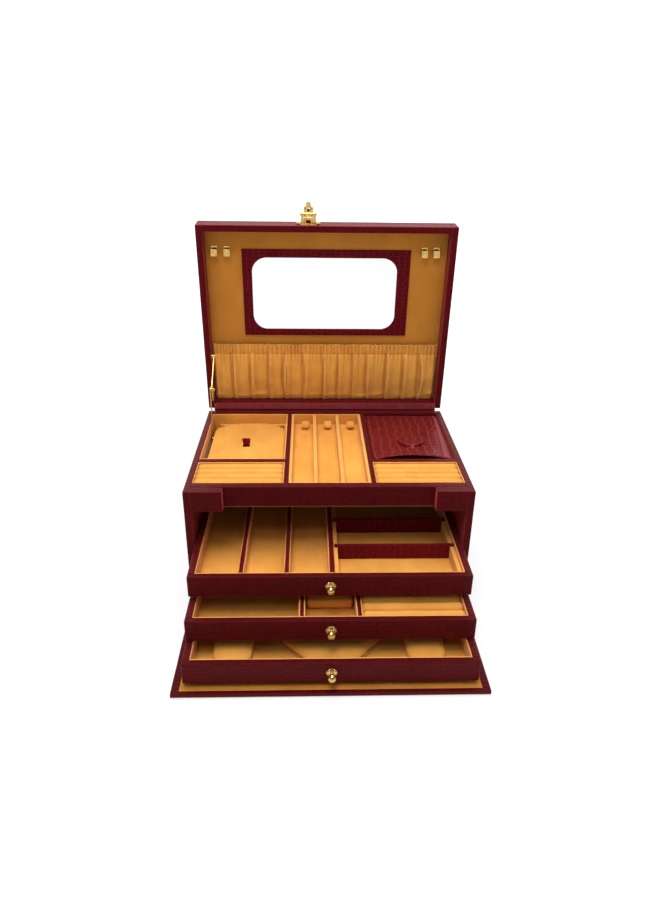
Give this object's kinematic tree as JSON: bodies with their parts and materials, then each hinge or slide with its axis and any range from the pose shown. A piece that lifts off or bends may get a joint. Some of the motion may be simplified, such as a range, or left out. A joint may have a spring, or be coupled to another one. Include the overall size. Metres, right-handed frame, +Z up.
{
  "type": "jewellery case",
  "caption": "Leather-covered jewellery case with a mirrored lid on a stay, a lined tray, knobbed drawers that pull out and a fall-down front flap.",
  "frame": {"origin": "middle of the underside of the base board", "axes": "+X to the right, +Y from the front to the back, +Z up; the case stands open, lid up, drawers drawn out in steps, flap down"},
  "size_m": [0.323, 0.3926, 0.4388],
  "materials": {
    "leather": "embossed burgundy leather over board",
    "suede": "honey suede over card and foam",
    "brass": "polished",
    "board": "bare board",
    "mirror": "silvered glass"
  },
  "bodies": {
    "case": {"base_board": "leather", "side_wall_left": "leather", "side_wall_right": "leather", "back_wall": "leather", "front_rail": "leather", "corner_block_left": "leather", "corner_block_right": "leather", "drawer_runners": "board", "tray_floor": "board", "tray_bar_left": "leather", "tray_bar_right": "leather", "tray_cross_bars": "leather", "tray_lining_left": "suede", "tray_lining_middle": "suede", "tray_lining_right": "suede", "tray_ledges": "suede", "channel_dividers": "suede", "chain_loops": "suede", "ring_rolls_left": "suede", "ring_rolls_right": "suede", "lid_hinge_strip": "leather", "flap_hinge_strip": "leather", "stay_case_pivot": "brass"},
    "lid": {"lid_panel": "leather", "lid_wall_left": "leather", "lid_wall_right": "leather", "lid_wall_front": "leather", "lid_wall_back": "leather", "lid_lining": "suede", "mirror_frame": "leather", "mirror_glass": "mirror", "necklace_hooks": "brass", "lid_pocket": "suede", "latch_plate": "brass", "latch_pin": "brass", "stay_lid_pivot": "brass"},
    "latch": {"latch_lever": "brass"},
    "stay_lower": {"stay_lower_arm": "brass"},
    "stay_upper": {"stay_upper_arm": "brass"},
    "cover": {"suede_cover": "suede", "cover_tab": "leather"},
    "wallet": {"travel_wallet": "leather", "travel_wallet_flap": "leather"},
    "drawer_1": {"drawer_1_box": "leather", "drawer_1_lining": "suede", "drawer_1_dividers": "leather", "drawer_1_knob": "brass"},
    "cross_rear": {"drawer_1_cross_rear": "leather"},
    "cross_front": {"drawer_1_cross_front": "leather"},
    "drawer_2": {"drawer_2_box": "leather", "drawer_2_lining": "suede", "drawer_2_dividers": "leather", "drawer_2_rolls": "suede", "drawer_2_knob": "brass"},
    "drawer_3": {"drawer_3_box": "leather", "drawer_3_lining": "suede", "drawer_3_pads": "suede", "drawer_3_knob": "brass"},
    "flap": {"flap_board": "leather", "flap_inlay": "suede"}
  },
  "joints": [
    {"name": "lid_hinge", "type": "hinge", "parent": "case", "child": "lid", "pos_m": [0, 0.1157, 0.1621], "axis": [1, 0, 0], "range_deg": [0, 86]},
    {"name": "latch_pivot", "type": "hinge", "parent": "lid", "child": "latch", "pos_m": [-0.0233, 0.10716, 0.42184], "axis": [1, 0, 0], "range_deg": [-20, 90]},
    {"name": "stay_lower_pivot", "type": "hinge", "parent": "case", "child": "stay_lower", "pos_m": [-0.15, 0.0675, 0.141], "axis": [1, 0, 0], "range_deg": [0, 105.45]},
    {"name": "stay_upper_pivot", "type": "hinge", "parent": "lid", "child": "stay_upper", "pos_m": [-0.1485, 0.11427, 0.23989], "axis": [1, 0, 0], "range_deg": [-78.57, 0]},
    {"name": "cover_hinge", "type": "hinge", "parent": "case", "child": "cover", "pos_m": [-0.099, -0.0313, 0.1489], "axis": [-1, 0, 0], "range_deg": [-88, 0]},
    {"name": "wallet_lift", "type": "slide", "parent": "case", "child": "wallet", "axis": [0, 0, -1], "range_m": [-0.06, 0]},
    {"name": "drawer_1_slide", "type": "slide", "parent": "case", "child": "drawer_1", "axis": [0, 1, 0], "range_m": [-0.0793, 0.0728]},
    {"name": "cross_rear_lift", "type": "slide", "parent": "drawer_1", "child": "cross_rear", "axis": [0, 0, -1], "range_m": [-0.036, 0]},
    {"name": "cross_front_lift", "type": "slide", "parent": "drawer_1", "child": "cross_front", "axis": [0, 0, -1], "range_m": [-0.036, 0]},
    {"name": "drawer_2_slide", "type": "slide", "parent": "case", "child": "drawer_2", "axis": [0, 1, 0], "range_m": [-0.0471, 0.105]},
    {"name": "drawer_3_slide", "type": "slide", "parent": "case", "child": "drawer_3", "axis": [0, 1, 0], "range_m": [-0.0144, 0.1377]},
    {"name": "flap_hinge", "type": "hinge", "parent": "case", "child": "flap", "pos_m": [0, -0.1148, 0.0057], "axis": [-1, 0, 0], "range_deg": [0, 2]}
  ],
  "couplings": [
    {"joint": "stay_lower_pivot", "follows": "lid_hinge", "ratio": 1.2256},
    {"joint": "stay_upper_pivot", "follows": "lid_hinge", "ratio": -0.91304}
  ]
}
